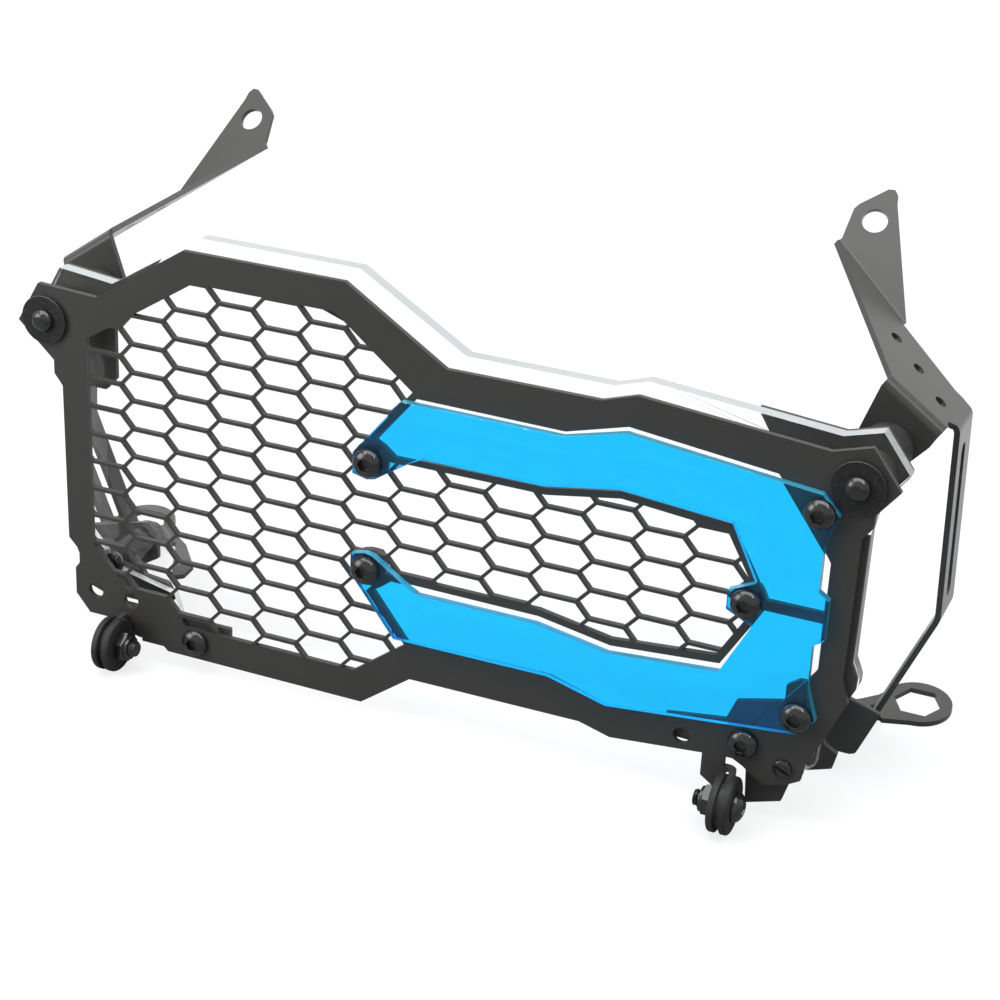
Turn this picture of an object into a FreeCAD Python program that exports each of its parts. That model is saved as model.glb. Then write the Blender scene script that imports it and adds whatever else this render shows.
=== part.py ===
"""Motorcycle headlight guard: a laser-cut honeycomb plate with a clear shield, a tinted
C-shaped lens and two folded side brackets, standing on two rubber rollers and two feet.

All sizes are millimetres.  The pieces are drawn in the plate's own frame (X to the right,
Y to the back, Z up, front face of the plate at Y = 0) and then leaned back and set on the
floor, so that the lowest points rest at Z = 0.
"""
import FreeCAD, Part
import math
import os

V = FreeCAD.Vector

# Sheets and panels
SHEET = 2.0
LENS_T = 3.0
SHIELD_T = 5.0

# Spacers that hold the shield and the brackets behind the plate
FRONT_PAD_T = 9.7
FRONT_PAD_R = 9.3
REAR_PAD_T = 17.3
REAR_PAD_R = 8.7
SLEEVE_R = 5.5
WASHER_T = 1.5
WASHER_R = 8.9

# Screws and nuts, and the play of the holes that the screws pass
SHANK_R = 3.0
CLEARANCE = 0.2
HEAD_R = 5.25
HEAD_H = 3.3
SOCKET = 4.0
SOCKET_DEPTH = 2.2
LOW_HEAD_R = 4.15
LOW_HEAD_H = 2.9
NUT_FLATS = 10.0
NUT_H = 5.0
LENS_NUT_FLATS = 9.0
THIN_NUT_H = 4.6
COLLAR_H = 1.4
THREAD_SHOWS = 0.8
SLOTTED_R = 2.5
SLOTTED_HEAD_R = 3.2
SLOTTED_HEAD_H = 1.6
SLOTTED_NUT_FLATS = 8.0
SLOTTED_NUT_H = 2.8
SLOT_W = 1.2
SLOT_TURN = 30

# Honeycomb: columns of six-sided cells, split by bars
COL_PITCH = 17.583
ROW_PITCH = 10.7
CELL_HALF_TOP = 6.43
BAR = 1.2
FIRST_COL_X = -106.64
FIRST_ROW_Z = -24.61
SMALLEST_CELL = 4.0

# Places of the fasteners on the plate (x, z), and the height that the lens is mirrored about
AXIS_Z = -46.75
CORNER = (147.8, 0.0)
LENS_SCREWS = [(-18.6, -26.55), (-18.6, -66.95), (137.4, -10.35), (137.4, -83.15), (116.9, AXIS_Z)]
LENS_BOSS_R = 6.6
CENTRE_BOSS_R = 5.6
FOOT_SCREWS = [(120.1, -99.0), (-88.2, -114.5)]
SLOTTED = (134.2, -104.8)
LOWER_STUD = (131.0, -97.0)

# Grooved rollers, and the lugs of the plate that carry them
ROLLER_X = 118.1
ROLLER_Y = -8.7
ROLLER_Z = -118.5
ROLLER_R = 10.0
ROLLER_HALF = 3.6
ROLLER_EASE = 0.8
GROOVE_R = 6.2
ROLLER_NUT_H = 3.4
ROLLER_COLLAR_H = 1.2
LUG_R = 8.0
LUG_INNER = 106.4
LUG_NECK = 111.0
LUG_ROOT_Z = -107.0
LUG_FOLD_R = 2.4
LUG_FOLD_H = 1.9
ROLLER_THREAD_SHOWS = 2.2

# Side brackets
FRONT_FOLD_R = 2.6
UPPER_FOLD_R = 3.0
SIDE_FOLD_R = 3.0
KNEE_R = 6.0
STRAP_FRONT = 8.7
STRAP_BACK = 28.1
SLOT_FRONT = 14.6
SLOT_BACK = 20.2
TAB_HOLE_R = 4.4
RAIL_HOLE_R = 2.2
RELIEF_R = 2.7
RAMP_X = 146.2
RAMP_TOP_Z = -94.2
RAMP_RUN = 36.4
RING_X = 160.9
RING_Y = 48.5
RING_R = 12.3
RING_HEX_R = 8.75

# Resting attitude in degrees
LEAN = 6.5

# Depths and radii that follow from the sizes above
SHIELD_Y = SHEET + FRONT_PAD_T
BACKING_Y = SHIELD_Y + SHIELD_T
SPACER_Y = BACKING_Y + SHEET
TAB_Y = SPACER_Y + REAR_PAD_T
HOLE_R = SHANK_R + CLEARANCE
REACH = TAB_Y + 2 * SHEET

# The lug's fold ends just above the roller's flanges
FLANGE_RISE = math.sqrt(ROLLER_R ** 2 - (SHEET / 2 - LUG_FOLD_R - ROLLER_Y) ** 2)
LUG_LOW_Z = ROLLER_Z + FLANGE_RISE + CLEARANCE
LUG_TOP_Z = LUG_LOW_Z + LUG_FOLD_H


def loop_face(points):
    """Planar face from a list of vectors."""
    return Part.Face(Part.makePolygon(points + [points[0]]))


def slab_y(points, y, t):
    """Outline given as (x, z), extruded backwards from depth y by t."""
    return loop_face([V(x, y, z) for x, z in points]).extrude(V(0, t, 0))


def window_y(points):
    """Cutter for an opening of the plate, a little longer than the sheet is thick."""
    return slab_y(points, -1, SHEET + 2)


def rod(start, end, r):
    axis = end.sub(start)
    return Part.makeCylinder(r, axis.Length, start, axis)


def hole_y(place, r=HOLE_R):
    """Cutter for a hole at (x, z) through every layer of the guard."""
    x, z = place
    return rod(V(x, -LENS_T - 1, z), V(x, REACH, z), r)


def stand(body, place, axis):
    """Moves a body drawn round Z so that it stands on place, along axis."""
    body.Placement = FreeCAD.Placement(place, FreeCAD.Rotation(V(0, 0, 1), axis))
    return body


def turned(profile, place, axis):
    """Body of revolution from a closed profile given as (radius, height)."""
    face = loop_face([V(r, 0, h) for r, h in profile])
    return stand(face.revolve(V(0, 0, 0), V(0, 0, 1), 360), place, axis)


def hexagon(across_flats, h, low=0.0):
    """Hexagonal prism round Z, standing on the height low."""
    r = across_flats / math.sqrt(3)
    turns = [math.pi * k / 3 for k in range(6)]
    return loop_face([V(r * math.cos(a), r * math.sin(a), low) for a in turns]).extrude(V(0, 0, h))


def screw_body(length, shank_r, head_r, head_h):
    """Domed screw round Z: the head rises from Z = 0 and the shank hangs below."""
    rim = 0.16 * head_h
    shoulder = (0.77 * head_r, 0.74 * head_h)
    profile = [(0, -length), (shank_r, -length), (shank_r, 0), (head_r, 0), (head_r, rim), shoulder,
               (0.5 * head_r, head_h), (0, head_h)]
    return turned(profile, V(0, 0, 0), V(0, 0, 1))


def button_screw(seat, axis, length, head_r=HEAD_R, head_h=HEAD_H, socket=SOCKET):
    """Button-head screw with a hexagon socket."""
    depth = min(SOCKET_DEPTH, 0.7 * head_h)
    body = screw_body(length, SHANK_R, head_r, head_h)
    body = body.cut(hexagon(socket, 2 * depth, head_h - depth))
    return stand(body, seat, axis)


def slotted_screw(seat, axis, length):
    """Small screw with a driver slot that is turned a little from level."""
    body = screw_body(length, SLOTTED_R, SLOTTED_HEAD_R, SLOTTED_HEAD_H)
    reach = 3 * SLOTTED_HEAD_R
    slot = Part.makeBox(reach, SLOT_W, SLOTTED_HEAD_H, V(-reach / 2, -SLOT_W / 2, SLOTTED_HEAD_H / 2))
    slot.rotate(V(0, 0, 0), V(0, 0, 1), SLOT_TURN)
    return stand(body.cut(slot), seat, axis)


def hex_nut(seat, axis, bore_r=SHANK_R, across=NUT_FLATS, h=NUT_H, collar=0.0):
    """Hexagonal nut, with a round nylon collar when collar is set."""
    body = hexagon(across, h)
    if collar:
        body = body.fuse(Part.makeCylinder(0.44 * across, collar, V(0, 0, h)))
    body = body.cut(Part.makeCylinder(bore_r, h + collar))
    return stand(body, seat, axis)


def ring(place, axis, r_out, h):
    """Washer, pad or sleeve that fits round a screw."""
    profile = [(SHANK_R, 0), (r_out, 0), (r_out, h), (SHANK_R, h)]
    return turned(profile, place, axis)


def one(shapes):
    """Fuses a list into one solid and merges the coplanar faces."""
    body = shapes[0].multiFuse(shapes[1:]).removeSplitter()
    return body.Solids[0] if len(body.Solids) == 1 else body


def both_sides(place):
    """The (x, z) place and its mirror image on the left."""
    x, z = place
    return [(x, z), (-x, z)]


def mirror_x(shape):
    return shape.mirror(V(0, 0, 0), V(1, 0, 0))


def mirror_z(points):
    """Outline mirrored about the lens axis, in reversed order."""
    return [(x, 2 * AXIS_Z - z) for x, z in reversed(points)]


class Sheet:
    """Flat wall of folded sheet, known by its normal and a point in the middle of its thickness."""

    def __init__(self, normal, point):
        self.n = V(*normal).normalize()
        self.d = self.n.dot(V(*point))

    def at(self, x, y=None, z=None):
        """Point of the wall at x and one more coordinate."""
        n = self.n
        if z is None:
            return V(x, y, (self.d - n.x * x - n.y * y) / n.z)
        return V(x, (self.d - n.x * x - n.z * z) / n.y, z)

    def wall(self, points):
        half = self.n * (SHEET / 2)
        return loop_face([p.sub(half) for p in points]).extrude(self.n * SHEET)

    def drill(self, p, r):
        return rod(p.sub(self.n * SHEET), p.add(self.n * SHEET), r)

    def meet(self, other, x=None, y=None):
        """Point at a given x or y on the line where the middles of two walls meet."""
        p, q = self.n, other.n
        if x is None:
            a, b = self.d - p.y * y, other.d - q.y * y
            det = p.x * q.z - p.z * q.x
            return V((a * q.z - p.z * b) / det, y, (p.x * b - a * q.x) / det)
        a, b = self.d - p.x * x, other.d - q.x * x
        det = p.y * q.z - p.z * q.y
        return V(x, (a * q.z - p.z * b) / det, (p.y * b - a * q.y) / det)


def bend(a, b, ua, ub, radius):
    """Rounded fold along the line a-b between two walls that leave it along ua and ub.

    radius is taken at the middle of the sheet.  Gives the solid and the set-back by which
    both walls stop short of the line.
    """
    ua = V(ua).normalize()
    ub = V(ub).normalize()
    half = math.acos(ua.dot(ub)) / 2
    set_back = radius / math.tan(half)
    inward = ua.add(ub).normalize()
    centre = a.add(inward * (radius / math.sin(half)))
    first = a.add(ua * set_back).sub(centre).normalize()
    last = a.add(ub * set_back).sub(centre).normalize()
    middle = inward * -1.0
    outer = radius + SHEET / 2
    inner = radius - SHEET / 2
    edges = [
        Part.Arc(*[centre.add(u * outer) for u in (first, middle, last)]).toShape(),
        Part.makeLine(centre.add(last * outer), centre.add(last * inner)),
        Part.Arc(*[centre.add(u * inner) for u in (last, middle, first)]).toShape(),
        Part.makeLine(centre.add(first * inner), centre.add(first * outer)),
    ]
    return Part.Face(Part.Wire(edges)).extrude(b.sub(a)), set_back


def honeycomb_cells():
    """The whole pattern of six-sided openings.  Each is inset by half a bar from its neighbours."""
    half_w = COL_PITCH - CELL_HALF_TOP
    half_h = ROW_PITCH / 2
    slope = math.hypot(half_w - CELL_HALF_TOP, half_h)
    tip = half_w - BAR / 2 * slope / half_h
    top = CELL_HALF_TOP - BAR / 2 * (slope - (half_w - CELL_HALF_TOP)) / half_h
    h = half_h - BAR / 2
    outline = [(-tip, 0), (-top, h), (top, h), (tip, 0), (top, -h), (-top, -h)]
    cells = []
    for col in range(-1, 14):
        x = FIRST_COL_X + COL_PITCH * col
        shift = 0 if col % 2 else half_h
        for row in range(-4, 10):
            z = FIRST_ROW_Z - shift - row * ROW_PITCH
            cells.append(window_y([(x + px, z + pz) for px, pz in outline]))
    return cells


def honeycomb_openings():
    """The pattern clipped by the frame of the plate and by the bosses of three lens screws."""
    field = window_y([
        (-131.3, -4.6), (-87.8, 23.6), (-33.6, 23.6), (-4.3, 0.7), (-19.0, -17.6), (-12.0, -25.6),
        (45, -25.6), (71.3, -21.1), (107.6, -24.3), (116.4, -39.5), (116.4, -54.0), (107.6, -69.2),
        (71.3, -72.4), (45, -67.9), (-12.0, -67.9), (-19.0, -75.9), (-4.3, -94.2), (-23.9, -109.3),
        (-92.5, -109.3), (-100.5, -100.2), (-117.5, -99.4), (-131.3, -84)])
    bosses = [hole_y(place, LENS_BOSS_R) for place in LENS_SCREWS[:2]]
    bosses.append(hole_y(LENS_SCREWS[4], CENTRE_BOSS_R))
    openings = field.cut(bosses).common(Part.makeCompound(honeycomb_cells()))
    return [piece for piece in openings.Solids if piece.Volume > SMALLEST_CELL * (SHEET + 2)]


def lens_windows():
    """The two openings of the plate behind the arms of the lens."""
    upper = [(-2.7, -1.3), (50.5, -1.9), (72, 4.2), (122.2, -1.2), (124, -3.4), (140.6, -25.6),
             (141.9, -27.8), (141.9, -44.9), (122.6, -44.9), (119.6, -39.4), (109.3, -21.6),
             (71.3, -18.5), (45, -23.0), (-9.5, -23.4), (-13.5, -20.2), (-16.5, -18.6)]
    return [window_y(upper), window_y(mirror_z(upper))]


def roller_lug(side):
    """Lower tab of the plate, folded forward into the lug that sits in a roller's groove."""
    x = ROLLER_X * side
    start = V(x, SHEET / 2, LUG_TOP_Z)
    end = V(x, SHEET / 2, LUG_LOW_Z)
    fold, set_back = bend(start, end, V(-side, 0, 0), V(0, -1, 0), LUG_FOLD_R)
    inner = LUG_INNER * side
    neck = LUG_NECK * side
    flat_end = x - side * set_back
    tab = slab_y([(inner, LUG_ROOT_Z), (neck, LUG_ROOT_Z), (neck, LUG_TOP_Z), (flat_end, LUG_TOP_Z),
                  (flat_end, LUG_LOW_Z),
                  (side * 114.2, ROLLER_Z + 4.9), (side * 114.2, ROLLER_Z + 0.5),
                  (side * 111.4, ROLLER_Z), (inner, ROLLER_Z + 3.5)], 0, SHEET)
    y = SHEET / 2 - set_back
    arm = loop_face([V(x - SHEET / 2, py, pz) for py, pz in (
        (y, LUG_TOP_Z), (y, LUG_LOW_Z), (y - 1.0, LUG_LOW_Z - 1.6), (ROLLER_Y + LUG_R, ROLLER_Z),
        (ROLLER_Y, ROLLER_Z), (ROLLER_Y, ROLLER_Z + LUG_R))]).extrude(V(SHEET, 0, 0))
    left = V(x - SHEET / 2, ROLLER_Y, ROLLER_Z)
    right = V(x + SHEET / 2, ROLLER_Y, ROLLER_Z)
    lug = arm.fuse(rod(left, right, LUG_R)).cut(rod(left, right, GROOVE_R))
    return [tab, fold, lug]


def grille_plate():
    """Laser-cut front plate: frame, honeycomb, lens windows, holes and the two folded lugs."""
    plate = slab_y([
        (-159.2, -2.2), (-150.5, 12.9), (-127, 11.7), (-91.6, 34.8), (-30, 34.7), (7.5, 11.2),
        (62, 11.3), (74, 15.2), (138, 9.7), (150.8, 13.6), (161, 0.6), (154, -8.5), (153.8, -13),
        (150.6, -17.5), (150.3, -67.5), (152.9, -75.5), (145.5, -93), (141.5, -101), (140.5, -108),
        (135.5, -111), (128, -113), (120.6, -107.8), (117, -105.9), (114.3, -105.9),
        (114.3, LUG_TOP_Z), (LUG_INNER, LUG_TOP_Z), (LUG_INNER, -106.6), (73.5, -109.8), (62, -106.7),
        (-1.8, -107.2), (-20.5, -121.3), (-100, -121.3), (-101.7, -119.7), (-111, -119.7),
        (-111, -113.2), (-133.3, -113.2), (-139, -106.4), (-139, -96), (-137.2, -93.5),
        (-137.2, -89.5), (-138.2, -87.3), (-141.4, -84), (-141.7, -24.2), (-145, -20), (-145, -15)
    ], 0, SHEET)
    plate = plate.cut(honeycomb_openings()).cut(lens_windows())
    plate = one([plate] + roller_lug(1) + roller_lug(-1))
    drills = [hole_y(place) for place in both_sides(CORNER) + LENS_SCREWS + FOOT_SCREWS]
    drills.append(hole_y(SLOTTED, SLOTTED_R + CLEARANCE))
    spare = [hole_y(place, 3.0) for place in ((-130.4, -103.4), (-115.3, -104.3), (98.7, -102.1))]
    return plate.cut(drills + spare).removeSplitter()


def blue_lens():
    """C-shaped tinted panel, the same above and below its axis."""
    half = [(110.3, -43.4), (119.4, -39.0), (109.8, -19.9), (71.2, -16.8), (45, -21.3), (1.3, -21.3),
            (-3.7, -24.0), (-15.9, -32.2), (-19.0, -32.9), (-24.4, -31.6), (-24.4, -23.8),
            (-19.0, -17.2), (-7.2, -2.3), (50.5, -2.7), (72, 3.0), (137.4, -3.9), (143.6, -10.2),
            (139.9, -21.6), (139.9, -37.2), (143.5, -39.6)]
    lens = slab_y(half + mirror_z(half), -LENS_T, LENS_T)
    return lens.cut([hole_y(place) for place in LENS_SCREWS])


def clear_shield():
    """Clear panel behind the plate, cut to nearly the same outline."""
    shield = slab_y([
        (-158.6, -1.4), (-149.2, 15.4), (-127.4, 13.2), (-123.8, 15.4), (-91.4, 36.0),
        (-30.2, 36.0), (9.6, 12.4), (62, 12.4), (73.6, 16.1), (138.4, 10.7), (151, 14.4),
        (161, 1.4), (154.4, -7.6), (152.4, -12), (151.0, -20), (150.8, -66), (153.3, -71.8),
        (153.2, -74.8), (146, -91), (142.6, -100), (142.2, -108.2), (139.6, -110.4),
        (110, -104.6), (73.6, -108.2), (62, -105.2), (-1.8, -105.8), (-20.4, -119.6),
        (-99, -119.6), (-104, -104), (-128, -99), (-141.5, -84), (-141.9, -25), (-145, -20),
        (-145, -15)], SHIELD_Y, SHIELD_T)
    return shield.cut([hole_y(place) for place in both_sides(CORNER) + both_sides(LOWER_STUD)])


def backing_plates():
    """Small plates behind the shield's four fixings, as (name, solid) pairs."""
    right = [(109.4, 13.0), (138.3, 10.5), (150.9, 14.2), (160.6, 1.2), (154.0, -7.4), (146, -18),
             (134, -16), (129, -9), (115.4, 3.4)]
    left = [(-109.6, 24.4), (-123.8, 15.2), (-127.4, 13.0), (-149.2, 15.2), (-158.2, -1.2),
            (-146, -15), (-142, -29), (-133, -29), (-128.5, -24), (-128.5, -2), (-120, 9)]
    low = [(108.6, -101.6), (118.0, -100.6), (123.0, -92.0), (137.0, -90.0), (143.9, -102.2),
           (148.2, -104.6), (146.9, -110.6), (138.9, -113.4), (112.0, -113.4), (104.8, -107.4)]
    drills = [hole_y(place) for place in both_sides(CORNER) + both_sides(LOWER_STUD)]
    lower = slab_y(low, BACKING_Y, SHEET).cut(drills)
    return [("right_upper_backing_plate", slab_y(right, BACKING_Y, SHEET).cut(drills)),
            ("left_upper_backing_plate", slab_y(left, BACKING_Y, SHEET).cut(drills)),
            ("right_lower_backing_plate", lower),
            ("left_lower_backing_plate", mirror_x(lower))]


def right_foot_plate():
    """Stiffening plate flat behind the lower right of the front plate."""
    plate = slab_y([
        (141.5, -17), (152.7, -17), (152.3, -62), (154.5, -67), (154.3, -71.4), (152.4, -75.5),
        (145.2, -92), (141, -101), (140.6, -107), (136.4, -111.4), (134.4, -118.6),
        (122.2, -122.6), (121.2, -107.4), (117.4, -104.9), (92, -104.2), (92.3, -95.2),
        (113.0, -92.2), (116.0, -84.4), (131, -80.6), (142.4, -77.4)], SHEET, SHEET)
    nut_room = LENS_NUT_FLATS / math.sqrt(3) + 1.0
    return plate.cut([hole_y(FOOT_SCREWS[0]), hole_y(LENS_SCREWS[3], nut_room),
                      hole_y(SLOTTED, SLOTTED_R + CLEARANCE)])


def left_foot_plate():
    """Short stiffening strip flat behind the lower left of the front plate."""
    plate = slab_y([(-124, -106.8), (-75, -106.8), (-75, -117), (-79, -119.4), (-99, -119.4),
                    (-120, -118)], SHEET, SHEET)
    return plate.cut(hole_y(FOOT_SCREWS[1]))


def long_slot(x, z0, z1):
    """Cutter for a round-ended slot down the middle of the strap."""
    r = (SLOT_BACK - SLOT_FRONT) / 2
    y = (SLOT_BACK + SLOT_FRONT) / 2
    depth = V(6 * SHEET, 0, 0)
    ends = [V(x, y, z).sub(depth) for z in (z0 + r, z1 - r)]
    low, high = [rod(end, end.add(depth * 2), r) for end in ends]
    middle = Part.makeBox(2 * depth.x, 2 * r, z1 - z0 - 2 * r, ends[0].sub(V(0, r, 0)))
    return low.fuse([high, middle])


def foot_ring(foot, edge_in, edge_out):
    """Foot of a bracket: a tongue that ends in a ring with a hexagonal hole."""
    centre = foot.at(x=RING_X, y=RING_Y)
    tongue = foot.wall([foot.at(x=x, y=y) for x, y in (
        (edge_out.x, edge_out.y), (151.5, 33.6), (RING_X, RING_Y - RING_R), (RING_X, RING_Y),
        (152.2, 57.2), (146.8, 47.4), (141.4, 42.4), (135.6, 38.4), (125.2, 26.2), (125.2, 19.0),
        (129.0, 16.0), (edge_in.x, edge_in.y))])
    hexagon_hole = [foot.at(x=RING_X + RING_HEX_R * math.cos(turn), y=RING_Y + RING_HEX_R * math.sin(turn))
                    for turn in [math.pi * k / 3 for k in range(6)]]
    half = foot.n * SHEET
    cutter = loop_face([p.sub(half) for p in hexagon_hole]).extrude(half * 2)
    disc = rod(centre.sub(half / 2), centre.add(half / 2), RING_R)
    return tongue.fuse(disc).cut([cutter, foot.drill(foot.at(x=147.8, y=38.6), 2.3),
                                  foot.drill(foot.at(x=131.0, y=26.6), 2.0)])


def upper_tab(slope, tab):
    """Ear with the upper bolt hole, and the fold that joins it to the sloping wall.

    Gives the solids and the two points where the sloping wall ends.
    """
    near = slope.meet(tab, x=110.4)
    far = slope.meet(tab, x=138.8)
    line = far.sub(near).normalize()
    down_slope = line.cross(slope.n)
    up_tab = tab.n.cross(line)
    if down_slope.y > 0:
        down_slope = down_slope * -1.0
    if up_tab.z < 0:
        up_tab = up_tab * -1.0
    fold, set_back = bend(near, far, down_slope, up_tab, UPPER_FOLD_R)
    crown = [tab.at(x=x, z=z) for x, z in ((112.6, 56.0), (114.0, 57.5), (122.2, 62.5), (124.4, 62.6),
                                           (125.9, 61.1), (126.4, 58.8))]
    ear = tab.wall([near.add(up_tab * set_back)] + crown + [far.add(up_tab * set_back)])
    ear = ear.cut(tab.drill(tab.at(x=120.6, z=53.3), TAB_HOLE_R))
    return [fold, ear], [far.add(down_slope * set_back), near.add(down_slope * set_back)]


def lower_end(lower, strap_end, slant):
    """Slanting end of the strap, the ramp, the lower front wall and the foot ring."""
    depth = TAB_Y + SHEET / 2
    lean = math.radians(LEAN)
    floor = ROLLER_Z * math.cos(lean) - ROLLER_Y * math.sin(lean) - ROLLER_R
    foot_z = (floor + SHEET / 2 + depth * math.sin(lean)) / math.cos(lean)
    foot = Sheet((0, -math.sin(lean), math.cos(lean)), (0, 0, foot_z))
    fall = (RAMP_TOP_Z - foot.at(x=RAMP_X, y=RAMP_RUN).z) / RAMP_RUN
    ramp = Sheet((0.305, fall, 1), (RAMP_X, 0, RAMP_TOP_Z))
    meet_front = lower.meet(ramp, y=STRAP_FRONT)
    meet_back = lower.meet(ramp, y=STRAP_BACK)
    edge_in = ramp.meet(foot, x=140.5)
    edge_out = ramp.meet(foot, x=150.5)
    top_in = ramp.at(x=140.5, y=0)
    top_out = ramp.at(x=157.0, y=0)
    slanting = lower.wall(strap_end + [meet_back, meet_front]).cut(long_slot(160, -106, -72))
    low_front = slab_y([
        (top_in.x, top_in.z), (top_out.x, top_out.z), (151.2, -112.0), (150.3, -113.9),
        (148.4, -114.7), (144.1, -114.7), (137.5, -111.5), (124.6, -103.6), (124.6, -92.4),
        (129, -89.2)], -SHEET / 2, SHEET).cut(hole_y(LOWER_STUD))
    return [slanting, low_front,
            ramp.wall([top_in, top_out, meet_front, meet_back, edge_out, edge_in]),
            rod(meet_front, meet_back, SHEET / 2),
            rod(top_in, top_out, SHEET / 2),
            rod(edge_in, edge_out, SHEET / 2),
            foot_ring(foot, edge_in, edge_out)]


def right_bracket():
    """One folded sheet: upper ear, sloping wall, front tab, slotted strap, ramp and foot ring.

    It is drawn with Y from the middle of its front tab and then moved back behind the spacers.
    """
    slope = Sheet((0.576, 0, 0.8175), (144.6, 0, 22.4))
    tab = Sheet((0.0805, -0.7464, 0.6606), (120.6, 63.67, 53.3))
    outer = Sheet((0.9993, 0, 0.0375), (167.4, 0, 6.5))
    lower = Sheet((0.927, 0, -0.375), (169.3, 0, -63.5))

    solids, slope_end = upper_tab(slope, tab)

    front_in = slope.at(x=144.6, y=0)
    front_out = slope.at(x=164.6, y=0)
    down = V(-slope.n.x, 0, -slope.n.z)
    fold_front, back_front = bend(front_in, front_out, V(0, 1, 0), down, FRONT_FOLD_R)
    tab_in = front_in.add(down * back_front)
    tab_out = front_out.add(down * back_front)
    front_tab = slab_y([
        (tab_in.x, tab_in.z), (tab_out.x, tab_out.z), (161.0, 2.4), (154.6, -4.8), (150.6, -9.8),
        (144.4, -10.4), (138.4, -5.2), (137.4, 3.6)], -SHEET / 2, SHEET).cut(hole_y(CORNER))

    side = [slope.meet(outer, y=y) for y in (STRAP_FRONT, STRAP_BACK)]
    knee = [outer.meet(lower, y=y) for y in (STRAP_FRONT, STRAP_BACK)]
    up_slope = V(-slope.n.z, 0, slope.n.x)
    strap_down = V(outer.n.z, 0, -outer.n.x)
    slant = V(lower.n.z, 0, -lower.n.x)
    fold_side, back_side = bend(side[0], side[1], up_slope, strap_down, SIDE_FOLD_R)
    fold_knee, back_knee = bend(knee[0], knee[1], strap_down * -1.0, slant, KNEE_R)
    strap = outer.wall([side[0].add(strap_down * back_side), side[1].add(strap_down * back_side),
                        knee[1].sub(strap_down * back_knee), knee[0].sub(strap_down * back_knee)])
    strap = strap.cut(long_slot(169, -56, -1))

    sloping = slope.wall([
        front_in.add(V(0, back_front, 0)), front_out.add(V(0, back_front, 0)),
        side[0].add(up_slope * back_side), side[1].add(up_slope * back_side),
        slope.at(x=163.6, y=29.2), slope.at(x=161.0, y=29.3)] + slope_end)
    rail = [slope.drill(slope.at(x=x, y=y), RAIL_HOLE_R)
            for x, y in ((139.7, 27.8), (149.5, 21.4), (159.4, 13.9))]
    relief = slope.drill(slope.at(x=166.3, y=5.2), RELIEF_R)
    solids += [fold_front, front_tab, fold_side, fold_knee, strap, sloping.cut(rail + [relief])]

    strap_end = [knee[0].add(slant * back_knee), knee[1].add(slant * back_knee)]
    solids += lower_end(lower, strap_end, slant)
    bracket = one(solids)
    bracket.translate(V(0, TAB_Y + SHEET / 2, 0))
    return bracket


def roller(side):
    """Grooved rubber roller that sits round the lug."""
    r = ROLLER_R
    w = ROLLER_HALF
    ease = ROLLER_EASE
    half = SHEET / 2
    profile = [(SHANK_R, -w), (r - ease, -w), (r, ease - w), (r, -half), (GROOVE_R, -half),
               (GROOVE_R, half), (r, half), (r, w - ease), (r - ease, w), (SHANK_R, w)]
    return turned(profile, V(side * ROLLER_X, ROLLER_Y, ROLLER_Z), V(side, 0, 0))


def roller_fasteners():
    """The screws and the nuts of both rollers, with the heads outside."""
    screws = []
    nuts = []
    for side in (1, -1):
        centre = V(side * ROLLER_X, ROLLER_Y, ROLLER_Z)
        out = V(side, 0, 0)
        length = 2 * ROLLER_HALF + ROLLER_NUT_H + ROLLER_COLLAR_H + ROLLER_THREAD_SHOWS
        screws.append(button_screw(centre.add(out * ROLLER_HALF), out, length))
        nuts.append(hex_nut(centre.sub(out * ROLLER_HALF), out * -1.0, h=ROLLER_NUT_H,
                            collar=ROLLER_COLLAR_H))
    return screws, nuts


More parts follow.
